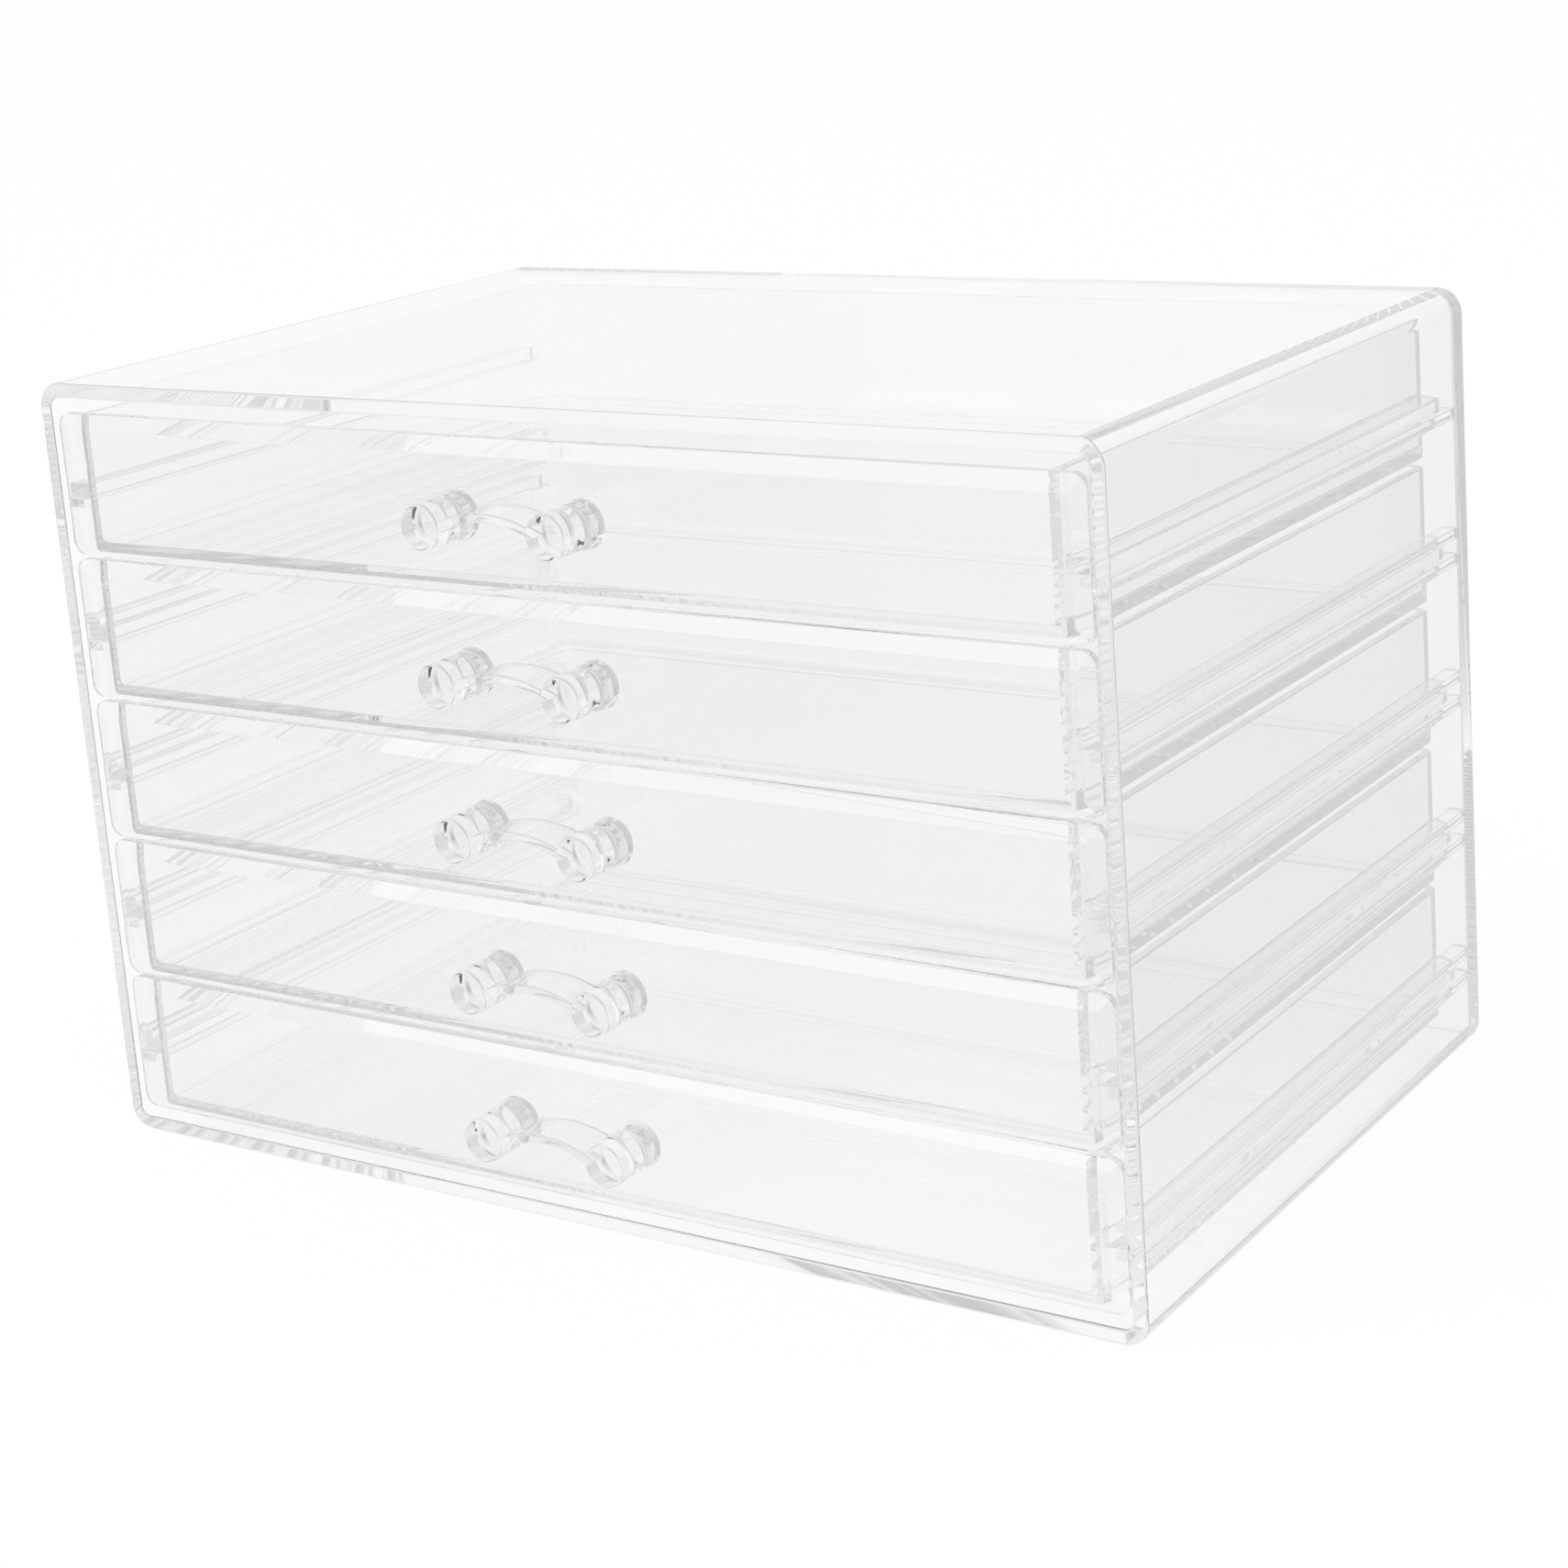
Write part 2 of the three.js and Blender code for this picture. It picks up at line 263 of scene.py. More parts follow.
def ledge(middle, thickness, reach, tip, root, steps=EDGE_STEPS):
    """Outline of a ledge on an upright wall, from under it to over it, as reach off the wall and height:
    a hollow quarter circle at each root and a round one at each edge of the tip. The last array has the
    same number of heights, spread evenly over the wall, for the stretch that has no ledge."""
    half = thickness / 2
    low_root, low_tip = arc(math.pi, QUARTER, steps), arc(-QUARTER, 0, steps)
    high_tip, high_root = arc(0, QUARTER, steps), arc(-QUARTER, -math.pi, steps)
    out = np.concatenate(
        [
            root + root * np.cos(low_root),
            reach - tip + tip * np.cos(low_tip),
            reach - tip + tip * np.cos(high_tip),
            root + root * np.cos(high_root),
        ]
    )
    height = middle + np.concatenate(
        [
            -half - root + root * np.sin(low_root),
            -half + tip + tip * np.sin(low_tip),
            half - tip + tip * np.sin(high_tip),
            half + root + root * np.sin(high_root),
        ]
    )
    return out, height, np.linspace(height[0], height[-1], len(height))


def new_mesh(name, points, faces, materials=(), marked=None):
    """A mesh of points in millimetres. Each face has the material that its mark counts to."""
    mesh = bpy.data.meshes.new(name)
    mesh.from_pydata((np.asarray(points, float) * MM).tolist(), [], [list(map(int, f)) for f in faces])
    for material in materials:
        mesh.materials.append(material)
    if marked is not None:
        mesh.polygons.foreach_set("material_index", np.asarray(marked, np.int32))
    return mesh


def welded(mesh):
    """The mesh in an editable form, with its doubles merged and its collapsed faces taken out."""
    shape = bmesh.new()
    shape.from_mesh(mesh)
    bmesh.ops.remove_doubles(shape, verts=shape.verts, dist=WELD_DISTANCE * MM)
    bmesh.ops.dissolve_degenerate(shape, edges=shape.edges, dist=WELD_DISTANCE * MM)
    return shape


def close_up(shape, mesh):
    """Turns the faces outwards and puts the editable form back into its mesh."""
    bmesh.ops.recalc_face_normals(shape, faces=shape.faces)
    shape.to_mesh(mesh)
    shape.free()


def soften(mesh, sharp):
    """Soft shading with hard edges where two faces meet more sharply than the angle in degrees."""
    mesh.polygons.foreach_set("use_smooth", np.ones(len(mesh.polygons), bool))
    mesh.set_sharp_from_angle(angle=math.radians(sharp))


def settle(mesh, body, node):
    """Makes a mesh a piece, keeps its flat faces flat by area-weighted normals, ties it to its body and
    hides the imported solid that it stands for."""
    piece = bpy.data.objects.new(mesh.name, mesh)
    bpy.context.scene.collection.objects.link(piece)
    even = piece.modifiers.new("even_faces", "WEIGHTED_NORMAL")
    even.keep_sharp = True
    even.weight = 80
    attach(piece, body)
    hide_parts(node)


def front_top(number):
    """Height of the upper edge of a drawer front."""
    return corners(f"drawer_front_{number}")[1][2]


def make_case(material):
    """Case: a profile of inset and depth carried around the rounded rectangle of the front view. Inset
    is measured inwards from the outer wall, so the profile runs from the middle of the back, around the
    rounded back edge, along the outer wall, over the rim, back along the inner wall and into the hollow
    back edge. On the inner side walls the outline steps out around each rail."""
    half_x, half_z = CASE_HIGH[0], CASE_HIGH[2] / 2
    radius = CASE_EDGE_RADIUS
    rails = []
    offset = RUNNER_THICKNESS / 2 + RUNNER_CLEARANCE + RAIL_THICKNESS / 2
    reach = half_x - CASE_WALL - (TRAY_HALF_WIDTH + RAIL_TO_TRAY)
    for number in reversed(DRAWERS):
        runner = front_top(number) - RUNNER_BELOW_FRONT_TOP
        for height in (runner - offset, runner + offset)[: 1 if number == 1 else 2]:
            rails.append(ledge(height - half_z, RAIL_THICKNESS, reach, RAIL_EDGE_RADIUS, ROOT_FILLET))
    rail_out = np.concatenate([r[0] for r in rails])
    rail_z = np.concatenate([r[1] for r in rails])
    plain_z = np.concatenate([r[2] for r in rails])

    quarter, rim_quarter = arc(0, QUARTER, FINE_STEPS), arc(0, QUARTER, EDGE_STEPS)
    none = np.zeros(len(rail_out))
    one = np.ones(len(rail_out))
    base_x, base_z, plain, out_x, out_z, reach_all = [], [], [], [], [], []
    for turn, side, up in ((-QUARTER, 1, -1), (0, 1, 1), (QUARTER, -1, 1), (2 * QUARTER, -1, -1)):
        if up > 0 and side > 0:  # right wall, from the bottom corner up
            base_x.append(half_x * one), base_z.append(rail_z), plain.append(plain_z)
            out_x.append(one), out_z.append(none), reach_all.append(rail_out)
        if up < 0 and side < 0:  # left wall, from the top corner down
            base_x.append(-half_x * one), base_z.append(rail_z[::-1]), plain.append(plain_z[::-1])
            out_x.append(-one), out_z.append(none), reach_all.append(rail_out[::-1])
        angle = turn + quarter
        base_x.append(side * (half_x - radius) + radius * np.cos(angle))
        base_z.append(up * (half_z - radius) + radius * np.sin(angle))
        plain.append(base_z[-1])
        out_x.append(np.cos(angle)), out_z.append(np.sin(angle))
        reach_all.append(np.zeros(len(angle)))
    base_x, base_z, plain, out_x, out_z, reach_all = map(
        np.concatenate, (base_x, base_z, plain, out_x, out_z, reach_all)
    )

    def loop(inset, y, railed):
        depth = np.maximum(inset, CASE_WALL + reach_all) if railed else inset
        depth = np.where(reach_all > 0, depth, inset)
        z = base_z if railed else plain
        return np.stack(
            [base_x - depth * out_x, np.full(len(base_x), y), half_z + z - inset * out_z], -1
        )

    back, rim = BACK_Y, RIM_Y
    inner_back = back - CASE_WALL
    hollow_radius, edge = CASE_INNER_RADIUS, BACK_EDGE_RADIUS
    e = RIM_EDGE_RADIUS
    front_back = corners("drawer_front_1")[1][1]
    rail_front = front_back + RAIL_FRONT_GAP
    loops = [loop(edge - edge * math.sin(t), back - edge + edge * math.cos(t), False) for t in quarter]
    loops += [loop(e - e * math.cos(t), rim + e - e * math.sin(t), False) for t in rim_quarter]
    loops += [loop(CASE_WALL - e + e * math.sin(t), rim + e - e * math.cos(t), False) for t in rim_quarter]
    loops += [loop(CASE_WALL, rail_front, False), loop(CASE_WALL, rail_front, True)]
    loops += [
        loop(
            CASE_WALL + hollow_radius - hollow_radius * math.cos(t),
            inner_back - hollow_radius + hollow_radius * math.sin(t),
            True,
        )
        for t in quarter
    ]
    loops = np.array(loops)
    rows, columns = loops.shape[:2]
    faces = woven(rows, columns, True).tolist()
    faces.append(list(range(columns)))
    faces.append(list(range((rows - 1) * columns, rows * columns)))
    mesh = new_mesh("case_clear", loops.reshape(-1, 3), faces, [material])
    close_up(welded(mesh), mesh)
    soften(mesh, CASE_SHARP)
    settle(mesh, "case", "case_shell")


def make_tray(number, material, cement):
    """Tray: a profile of inset and height carried around three sides of the plan, from the left front
    end around the rounded back corners to the right front end. The profile starts under the floor, goes
    up the outer wall, over the rim and down to the floor's upper face. Flat faces close the underside,
    the floor and the front end. A runner stands out from each side, and its rear end falls to a share
    of its reach."""
    low, high = corners(f"drawer_tray_{number}")
    half = TRAY_HALF_WIDTH
    front, back = low[1], high[1]
    floor = low[2]
    height = high[2] - floor
    radius, wall, foot, rim = TRAY_CORNER_RADIUS, TRAY_WALL, TRAY_FOOT_RADIUS, TRAY_RIM_RADIUS
    runner_z = front_top(number) - RUNNER_BELOW_FRONT_TOP - floor
    out, runner_up, plain_up = ledge(
        runner_z, RUNNER_THICKNESS, RUNNER_HALF_SPAN - half, RUNNER_EDGE_RADIUS, ROOT_FILLET
    )
    up, inner = arc(0, QUARTER, EDGE_STEPS), radius - wall
    before_in = np.concatenate([[radius], foot - foot * np.sin(up)])
    before_up = np.concatenate([[0.0], foot - foot * np.cos(up)])
    after_in = np.concatenate(
        [
            rim - rim * np.cos(up),
            wall - rim + rim * np.sin(up),
            wall + inner - inner * np.cos(up),
        ]
    )
    after_up = np.concatenate(
        [
            height - rim + rim * np.sin(up),
            height - rim + rim * np.cos(up),
            TRAY_FLOOR + inner - inner * np.sin(up),
        ]
    )
    flat_in = np.concatenate([before_in, np.zeros(len(out)), after_in])
    flat_up = np.concatenate([before_up, plain_up, after_up])
    ledge_in = np.concatenate([before_in, -out, after_in])
    ledge_up = np.concatenate([before_up, runner_up, after_up])

    runner_front = front + RUNNER_FRONT_SETBACK
    runner_back = back - radius - RUNNER_REAR_SETBACK
    side_y = [front, runner_front, runner_front, runner_back - RUNNER_TAPER, runner_back, runner_back]
    side_ledge = [0, 0, 1, 1, RUNNER_END_SHARE, 0]
    stations = [(-half, y, -1, 0, on) for y, on in zip(side_y, side_ledge)]
    for t in arc(0, QUARTER, CORNER_STEPS):
        across, along = -math.cos(t), math.sin(t)
        stations.append((radius - half + radius * across, back - radius + radius * along, across, along, 0))
    stations += [(-x, y, -nx, ny, on) for x, y, nx, ny, on in reversed(stations)]
    path = np.array([s[:4] for s in stations])
    on = np.array([s[4] for s in stations])[:, None]
    inset, upward = flat_in + on * (ledge_in - flat_in), np.where(on > 0, ledge_up, flat_up)
    points = np.stack(
        [
            path[:, 0:1] - inset * path[:, 2:3],
            path[:, 1:2] - inset * path[:, 3:4],
            floor + upward,
        ],
        -1,
    )
    rows, columns = points.shape[:2]
    faces = woven(rows, columns).tolist()
    marked = [MOULDED] * len(faces)
    last = (rows - 1) * columns
    faces += [[row * columns for row in range(rows)], [row * columns + columns - 1 for row in range(rows)]]
    faces += [list(range(columns)), list(range(last, last + columns))]
    faces += [[0, last, last + columns - 1, columns - 1]]
    marked += [MOULDED] * 2 + [CEMENTED] * 3
    mesh = new_mesh(f"drawer_tray_{number}_clear", points.reshape(-1, 3), faces, [material, cement], marked)
    close_up(welded(mesh), mesh)
    soften(mesh, TRAY_SHARP)
    settle(mesh, f"drawer_{number}", f"drawer_tray_{number}")


def make_front(number, materials):
    """Drawer front: a profile of inset and depth carried around a rounded rectangle. The shallow bevel's
    depth falls in a straight line with the distance to the nearest straight side, so it is mitred in
    the corners. Two round holes take the handle's spigots, which are cemented to their walls."""
    low, high = corners(f"drawer_front_{number}")
    half_x, half_z = high[0], (high[2] - low[2]) / 2
    middle = (high[2] + low[2]) / 2
    front, back = low[1], high[1]
    radius, e = FRONT_CORNER_RADIUS, FRONT_EDGE_RADIUS
    corner = arc(0, QUARTER, CORNER_STEPS)
    angle = np.concatenate([turn + corner for turn in (-QUARTER, 0, QUARTER, 2 * QUARTER)])
    side = np.repeat([1, 1, -1, -1], len(corner))
    up = np.repeat([-1, 1, 1, -1], len(corner))
    base_x = side * (half_x - radius) + radius * np.cos(angle)
    base_z = up * (half_z - radius) + radius * np.sin(angle)

    def loop(inset, depth):
        x = np.clip(base_x - min(inset, radius) * np.cos(angle), inset - half_x, half_x - inset)
        z = np.clip(base_z - min(inset, radius) * np.sin(angle), inset - half_z, half_z - inset)
        near = np.minimum(half_x - abs(x), half_z - abs(z))
        y = depth(near) if callable(depth) else np.full(len(x), depth)
        return np.stack([x, y, middle + z], -1)

    def bevel(near):
        slope = FRONT_BEVEL_DEPTH / FRONT_BEVEL_WIDTH
        rest = FRONT_BEVEL_WIDTH - near
        c = CREASE_HALF_WIDTH
        soft = np.where(rest > c, rest, np.where(rest < -c, 0.0, (rest + c) ** 2 / (4 * c)))
        return front + slope * soft

    edge = arc(0, QUARTER, TINY_STEPS)
    loops = [loop(e - e * math.sin(t), back - e + e * math.cos(t)) for t in edge]
    loops += [loop(e - e * math.cos(t), lambda near, t=t: bevel(near) + e - e * math.sin(t)) for t in edge]
    width, c = FRONT_BEVEL_WIDTH, CREASE_HALF_WIDTH
    crease = (width - c, width - c / 3, width + c / 3, width + c)
    loops += [loop(inset, bevel) for inset in (*BEVEL_ROWS, *crease)]
    loops = np.array(loops)
    rows, columns = loops.shape[:2]
    turn = np.arange(HOLE_SIDES) * (4 * QUARTER / HOLE_SIDES)
    hole = SPIGOT_RADIUS + CEMENT_FILM
    points, faces = loops.reshape(-1, 3), woven(rows, columns, True).tolist()
    marked = [MOULDED] * len(faces)
    for centre in (-POST_SPACING / 2, POST_SPACING / 2):
        rings = [
            np.stack([centre + r * np.cos(turn), np.full(len(turn), y), middle + r * np.sin(turn)], -1)
            for r, y in ((POST_FOOT_RADIUS, front), (hole, front), (hole, back))
        ]
        faces += (woven(len(rings), HOLE_SIDES, True) + len(points)).tolist()
        marked += [MOULDED] * HOLE_SIDES + [JOINED] * HOLE_SIDES
        points = np.concatenate([points, *rings])
    mesh = new_mesh(f"drawer_front_{number}_clear", points, faces, materials, marked)
    shape = welded(mesh)
    for depth in (front, back):
        rims = [e for e in shape.edges if e.is_boundary and all(level_with(v, depth) for v in e.verts)]
        bmesh.ops.triangle_fill(shape, use_beauty=True, edges=rims)
    bmesh.ops.recalc_face_normals(shape, faces=shape.faces)
    mark_joint(shape, number, back)
    shape.to_mesh(mesh)
    shape.free()
    soften(mesh, FRONT_SHARP)
    settle(mesh, f"drawer_{number}", f"drawer_front_{number}")


def level_with(point, depth):
    """Whether a point of a mesh lies at a depth."""
    return abs(point.co.y / MM - depth) < 2 * WELD_DISTANCE


def on_back(face, back):
    """Whether a face of a drawer front is part of its flat back."""
    return face.normal.y > FLAT_NORMAL and all(level_with(point, back) for point in face.verts)


def mark_joint(shape, number, back):
    """Cuts the back face of a drawer front along the outline of the tray's end, and gives the inner part
    of the joint the cement that holds it, and the rest, with a strip beside each wall, the cement that
    was pressed out."""
    floor = corners(f"drawer_tray_{number}")[0][2]
    outer, inner = TRAY_HALF_WIDTH, TRAY_HALF_WIDTH - TRAY_WALL
    held, top = inner + JOINT_WIDTH, floor + TRAY_FLOOR
    steps = (inner, held, outer + SMEAR_WIDTH)
    planes = [(Vector((side * x, 0, 0)), Vector((1, 0, 0))) for side in (-1, 1) for x in steps]
    planes += [(Vector((0, 0, z)), Vector((0, 0, 1))) for z in (floor, top - JOINT_WIDTH, top)]
    for point, normal in planes:
        flat = [face for face in shape.faces if on_back(face, back)]
        edges = {edge for face in flat for edge in face.edges}
        verts = {vert for face in flat for vert in face.verts}
        bmesh.ops.bisect_plane(
            shape, geom=list(verts) + list(edges) + flat, dist=1e-8, plane_co=point * MM, plane_no=normal
        )
    for face in shape.faces:
        middle = face.calc_center_median() / MM
        if on_back(face, back) and middle.z > floor:
            across = abs(middle.x)
            if inner < across < held and middle.z > top - JOINT_WIDTH:
                face.material_index = CEMENTED
            elif across < inner and top - JOINT_WIDTH < middle.z < top:
                face.material_index = CEMENTED
            elif held < across < outer + SMEAR_WIDTH or (across < held and middle.z < top - JOINT_WIDTH):
                face.material_index = SMEARED


def turned(profile, centre, sides=POST_SIDES):
    """A turned solid along Y: radius and depth of the profile carried around the post's axis, with the
    first and last points on the axis."""
    profile = np.array(profile)
    angle = np.arange(sides) * (4 * QUARTER / sides)
    points = np.stack(
        [
            centre + profile[:, 0:1] * np.cos(angle),
            np.repeat(profile[:, 1:2], sides, 1),
            profile[:, 0:1] * np.sin(angle),
        ],
        -1,
    )
    return points.reshape(-1, 3), woven(len(profile), sides, True).tolist()


def workpiece(name, points, faces):
    """A closed mesh as an object that is only there to be joined."""
    mesh = new_mesh(name, points, faces)
    close_up(welded(mesh), mesh)
    made = bpy.data.objects.new(name, mesh)
    bpy.context.scene.collection.objects.link(made)
    return made


def handle_shape():
    """Handle about the middle of its front: two turned posts joined to the arched bridge. A post's
    profile has a rounded rim, a straight flank, a waist, a foot that flares with one minus a cosine, and
    a spigot. The bridge's section is a rounded rectangle whose top and underside follow arcs that rise
    between the posts."""
    front = RIM_Y - POST_REACH
    foot = RIM_Y - CEMENT_FILM
    waist = foot - POST_FOOT_HEIGHT
    spigot_end = corners("drawer_front_1")[1][1]
    r = POST_RIM_RADIUS
    rim = arc(0, QUARTER, CORNER_STEPS)
    profile = [(0, front)]
    profile += [(POST_RADIUS - r + r * math.sin(t), front + r - r * math.cos(t)) for t in rim]
    half = POST_WAIST_WIDTH / 2
    profile += [(POST_RADIUS, waist - half), (POST_WAIST_RADIUS, waist), (POST_NECK_RADIUS, waist + half)]
    profile += [
        (
            POST_NECK_RADIUS + (POST_FOOT_RADIUS - POST_NECK_RADIUS) * s,
            waist + half + (POST_FOOT_HEIGHT - half) * (1 - math.cos(QUARTER * s)),
        )
        for s in np.linspace(0, 1, FOOT_STEPS + 1)[1:]
    ]
    profile += [(SPIGOT_RADIUS, foot), (SPIGOT_RADIUS, spigot_end), (0, spigot_end)]
    half_span = POST_SPACING / 2 - POST_RADIUS
    end = half_span + BRIDGE_ROOT
    x = np.linspace(-end, end, BRIDGE_STEPS + 1)[:, None]

    def arch(apex, rise):
        sweep = (half_span**2 + rise**2) / (2 * rise)
        return apex - sweep + np.sqrt(sweep**2 - x**2)

    top = arch(BRIDGE_TOP, BRIDGE_TOP_RISE)
    under = arch(BRIDGE_TOP - BRIDGE_MIDDLE_THICKNESS, BRIDGE_UNDERSIDE_RISE)
    near, far = front + BRIDGE_FRONT_SETBACK, RIM_Y - BRIDGE_TO_FRONT
    e = BRIDGE_EDGE_RADIUS
    corner = arc(0, QUARTER, BRIDGE_EDGE_STEPS)
    turn = np.concatenate([start + corner for start in (-QUARTER, 0, QUARTER, 2 * QUARTER)])[None, :]
    side = np.repeat([1, 1, -1, -1], len(corner))[None, :]
    up = np.repeat([-1, 1, 1, -1], len(corner))[None, :]
    y = (near + far) / 2 + side * ((far - near) / 2 - e) + e * np.cos(turn)
    z = (top + under) / 2 + up * ((top - under) / 2 - e) + e * np.sin(turn)
    points = np.stack(np.broadcast_arrays(x, y, z), -1)
    rows, columns = points.shape[:2]
    faces = woven(rows, columns, True).tolist()
    faces += [list(range(columns)), list(range((rows - 1) * columns, rows * columns))]
    handle = workpiece("handle_shape", points.reshape(-1, 3), faces)
    for centre in (-POST_SPACING / 2, POST_SPACING / 2):
        post = workpiece("post", *turned(profile, centre))
        join = handle.modifiers.new("join", "BOOLEAN")
        join.operation, join.solver, join.object = "UNION", "EXACT", post
        bpy.context.view_layer.update()
        finished = handle.evaluated_get(bpy.context.evaluated_depsgraph_get())
        joined = bpy.data.meshes.new_from_object(finished)
        handle.modifiers.clear()
        handle.data = joined
        bpy.data.objects.remove(post)
    mesh = handle.data
    bpy.data.objects.remove(handle)
    return mesh


def make_handle(number, shape, material, contact):
    """A copy of the handle at the middle of its drawer front. The sides of the spigots are in full
    contact with the front."""
    low, high = corners(f"drawer_front_{number}")
    mesh = shape.copy()
    mesh.name = f"drawer_handle_{number}_clear"
    mesh.materials.clear()
    mesh.materials.append(material)
    mesh.materials.append(contact)
    foot, end, margin = RIM_Y - CEMENT_FILM, high[1], 2 * WELD_DISTANCE
    for face in mesh.polygons:
        on_spigot = foot + margin < face.center.y / MM < end - margin
        face.material_index = int(on_spigot)
    mesh.transform(Matrix.Translation((0, 0, (low[2] + high[2]) / 2 * MM)))
    soften(mesh, HANDLE_SHARP)
    settle(mesh, f"drawer_{number}", f"drawer_handle_{number}")


# Studio

BACKDROP_LEVEL = 0.96
# Where the plastic mirrors the studio: direction, inner and outer angle in degrees, and brightness
DARKER_PARTS = (
    ((-0.531, -0.814, -0.233), 15.0, 55.0, 0.62),  # grey floor before the set, at the left
    ((0.531, 0.814, -0.233), 15.0, 55.0, 0.72),  # grey floor at the right of the backdrop
    ((0.545, -0.835, -0.087), 14.0, 26.0, 0.05),  # dark opening to the room at the front right
    ((1.0, 0.0, -0.05), 8.0, 36.0, 0.68),  # grey wall at the right
    ((-1.0, 0.0, -0.05), 8.0, 36.0, 0.68),  # grey wall at the left
)
# The ceiling above the lamps, which is dim also where it shows through the plastic
DIM_CEILING = ((0.0, 0.0, 1.0), 30.0, 55.0, 0.55)
FLOOR_HALF_SIZE = 6000.0
FLOOR_BELOW = 0.3
FLOOR_WHITE_SHARE = 0.97  # the rest is the floor's lit colour, which holds the shadow

# Softboxes: place and aim in metres, size in metres, power in watts, and whether the plastic mirrors it
SOFTBOXES = {
    "softbox_left": ((-0.9, -0.9, 1.1), (0, 0, 0.08), 0.9, 9.0, False),
    "softbox_right": ((1.1, -0.5, 1.2), (0, 0, 0.08), 0.8, 6.0, False),
    "softbox_front": ((-0.60, -1.14, 0.3), (0, -0.08, 0.1), 0.56, 1.3, True),
}


def darken(tree, level, direction, part):
    """Brightness times a soft round patch, which is one past the outer angle from the patch's middle and
    falls smoothly to the patch's own brightness at the inner angle."""
    middle, inner, outer, dark = part
    settings = {"operation": "DOT_PRODUCT", 1: Vector(middle).normalized()}
    facing = add(tree, "ShaderNodeVectorMath", settings, {0: direction})
    patch = add(
        tree,
        "ShaderNodeMapRange",
        {
            "From Min": math.cos(math.radians(outer)),
            "From Max": math.cos(math.radians(inner)),
            "To Min": 1.0,
            "To Max": dark,
            "interpolation_type": "SMOOTHSTEP",
        },
        {"Value": facing.outputs["Value"]},
    ).outputs[0]
    if level is None:
        return patch
    return add(tree, "ShaderNodeMath", {"operation": "MULTIPLY"}, {0: level, 1: patch}).outputs[0]


def studio_level(tree, direction):
    """Brightness of the studio in a direction. Rays that the plastic has mirrored find the darker parts,
    each one a soft round patch, and all others find white. The ceiling is dim for both."""
    unit = add(tree, "ShaderNodeVectorMath", {"operation": "NORMALIZE"}, {"Vector": direction}).outputs[0]
    level = None
    for part in DARKER_PARTS:
        level = darken(tree, level, unit, part)
    level = add(tree, "ShaderNodeMath", {"operation": "MULTIPLY", 1: BACKDROP_LEVEL}, {0: level}).outputs[0]
    depth = add(tree, "ShaderNodeLightPath").outputs["Glossy Depth"]
    mirrored = add(tree, "ShaderNodeMath", {"operation": "GREATER_THAN", 1: 0.5}, {0: depth}).outputs[0]
    mix = add(tree, "ShaderNodeMix", {"data_type": "FLOAT", "A": 1.0}, {"Factor": mirrored, "B": level})
    return darken(tree, mix.outputs["Result"], unit, DIM_CEILING)


def pale_floor():
    """Plain pale floor. The camera, and rays that pass clear plastic or are mirrored in it, see it as a
    white sweep, with a share of its lit colour left so that it keeps the object's shadow."""
    half, z = FLOOR_HALF_SIZE, -FLOOR_BELOW
    square = [(-half, -half, z), (half, -half, z), (half, half, z), (-half, half, z)]
    mesh = new_mesh("floor", square, [(0, 1, 2, 3)])
    floor = bpy.data.objects.new("floor", mesh)
    bpy.context.scene.collection.objects.link(floor)
    material = bpy.data.materials.new("white_paper_sweep")
    material.use_nodes = True
    tree = material.node_tree
    tree.nodes.clear()
    place = add(tree, "ShaderNodeTexCoord")
    away = add(tree, "ShaderNodeVectorMath", {"operation": "SUBTRACT"}, {0: place.outputs["Object"]})
    away.inputs[1].default_value = (0, 0, CASE_HIGH[2] / 2 * MM)
    level = studio_level(tree, away.outputs[0])
    rays = add(tree, "ShaderNodeLightPath").outputs
    largest = {"operation": "MAXIMUM"}
    seen = add(tree, "ShaderNodeMath", largest, {0: rays["Is Camera Ray"], 1: rays["Is Glossy Ray"]})
    seen = add(tree, "ShaderNodeMath", largest, {0: seen.outputs[0], 1: rays["Is Transmission Ray"]})
    share = add(tree, "ShaderNodeMath", {"operation": "MULTIPLY", 1: FLOOR_WHITE_SHARE}, {0: seen.outputs[0]})
    lit = add(tree, "ShaderNodeBsdfDiffuse", {"Color": linear("#F4F4F4")}).outputs[0]
    white = add(tree, "ShaderNodeEmission", {"Color": linear("#FFFFFF")}, {"Strength": level}).outputs[0]
    mix = add(tree, "ShaderNodeMixShader", None, {0: share.outputs[0], 1: lit, 2: white})
    add(tree, "ShaderNodeOutputMaterial", None, {"Surface": mix.outputs[0]})
    mesh.materials.append(material)


def studio_world():
    """The studio round the set: white, with its dim ceiling and its darker parts."""
    world = bpy.data.worlds.new("studio")
    bpy.context.scene.world = world
    world.use_nodes = True
    tree = world.node_tree
    tree.nodes.clear()
    place = add(tree, "ShaderNodeTexCoord")
    level = studio_level(tree, place.outputs["Generated"])
    light = add(tree, "ShaderNodeBackground", {"Color": linear("#FFFFFF")}, {"Strength": level})
    add(tree, "ShaderNodeOutputWorld", None, {"Surface": light.outputs[0]})


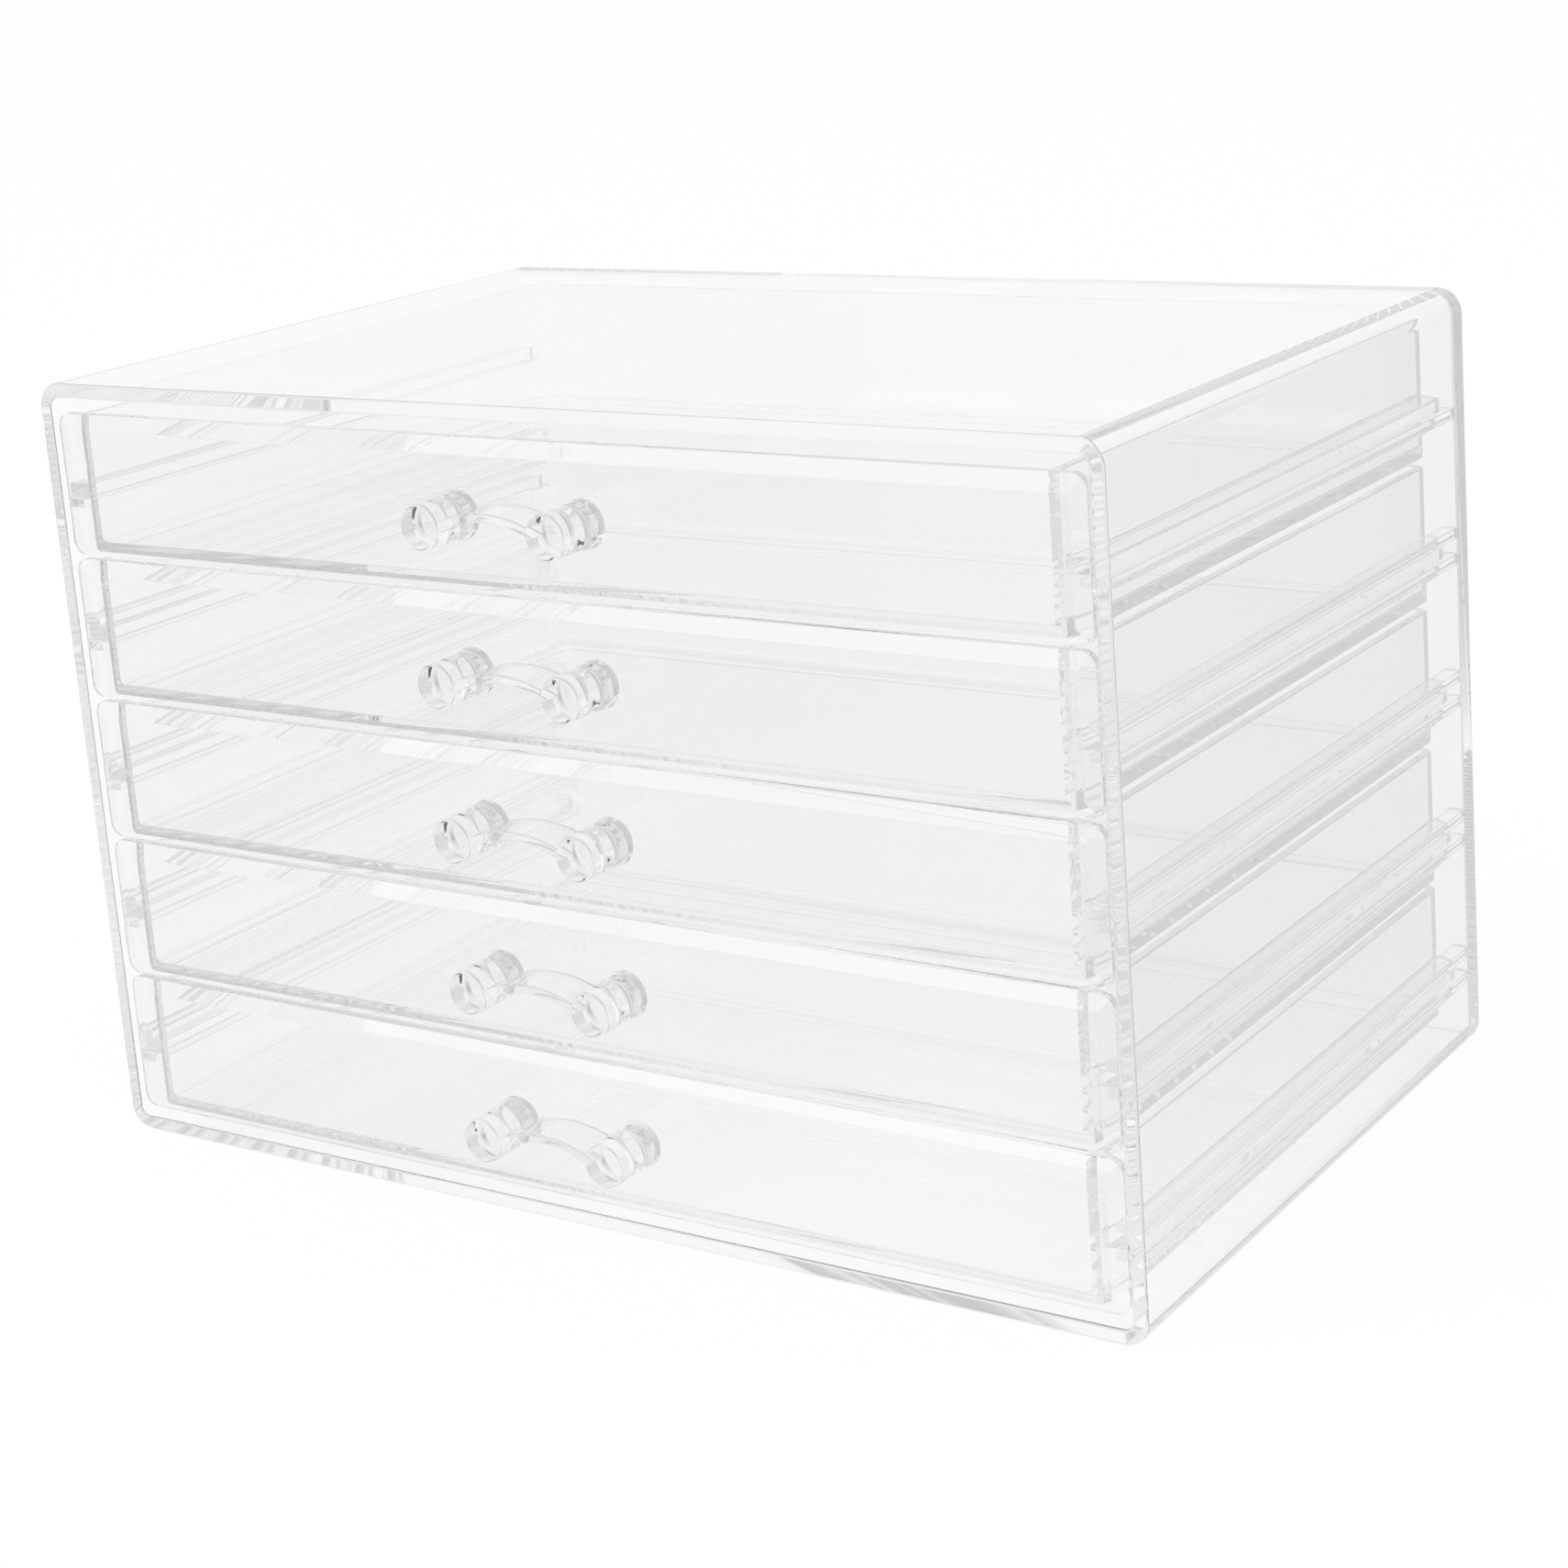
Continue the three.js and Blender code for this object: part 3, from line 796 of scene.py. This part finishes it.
def soft_lamp(name, place, aim, size, power, mirrored):
    """A square softbox that faces a point of the object. The camera and refracted rays don't see it, and
    reflections do if it is mirrored."""
    data = bpy.data.lights.new(name, "AREA")
    data.shape, data.size, data.energy = "SQUARE", size, power
    lamp = bpy.data.objects.new(name, data)
    place, aim = Vector(place), Vector(aim)
    lamp.visible_camera = lamp.visible_transmission = False
    lamp.visible_glossy = mirrored
    turn = (place - aim).to_track_quat("Z", "Y").to_matrix()
    lamp.matrix_world = Matrix.Translation(place) @ turn.to_4x4()
    bpy.context.scene.collection.objects.link(lamp)


place_camera()
scene = bpy.context.scene
scene.view_settings.view_transform = "Standard"
# Rays wander far inside clear walls that stand behind each other
scene.cycles.max_bounces = 160
scene.cycles.transmission_bounces = 160
scene.cycles.glossy_bounces = 160
scene.cycles.diffuse_bounces = 2

# Injection-moulded acrylic: colourless, mirror-smooth, with slow waves that bend what shows through it
clear_case = clear_plastic("moulded_acrylic_case", "#FEFEFE", [(60.0, 0.007, 1.0)])
clear_tray = clear_plastic("moulded_acrylic_tray", "#FEFEFE", [(45.0, 0.01, 1.0)])
# Moulded in a polished tool: the flattest faces, with clean reflections
clear_front = clear_plastic("polished_acrylic_front", "#FEFEFE", [(60.0, 0.01, 1.0)])
# Small and thick-walled: no waves to see, all its look comes from its rounds
clear_handle = clear_plastic("moulded_acrylic_handle", "#FEFEFE", [])
# Solvent cement has dissolved both faces: a faint ripple with hardly a change of index
cement = clear_plastic("solvent_cement_joint", "#FAFAFA", [(1.5, 0.2, 2.0)], 1.02)
# Cement that was pressed out and dried in the open: a rippled strip beside each wall
smear = clear_plastic("pressed_out_cement", "#FAFAFA", [(2.0, 0.25, 2.0)])
# Two faces that wet each other all over: light passes as if there were none
contact = clear_plastic("full_contact_joint", "#FFFFFF", [], 1.0)

make_case(clear_case)
shape = handle_shape()
for number in DRAWERS:
    make_tray(number, clear_tray, cement)
    make_front(number, [clear_front, cement, smear, contact])
    make_handle(number, shape, clear_handle, contact)

pale_floor()
studio_world()
for name, setting in SOFTBOXES.items():
    soft_lamp(name, *setting)
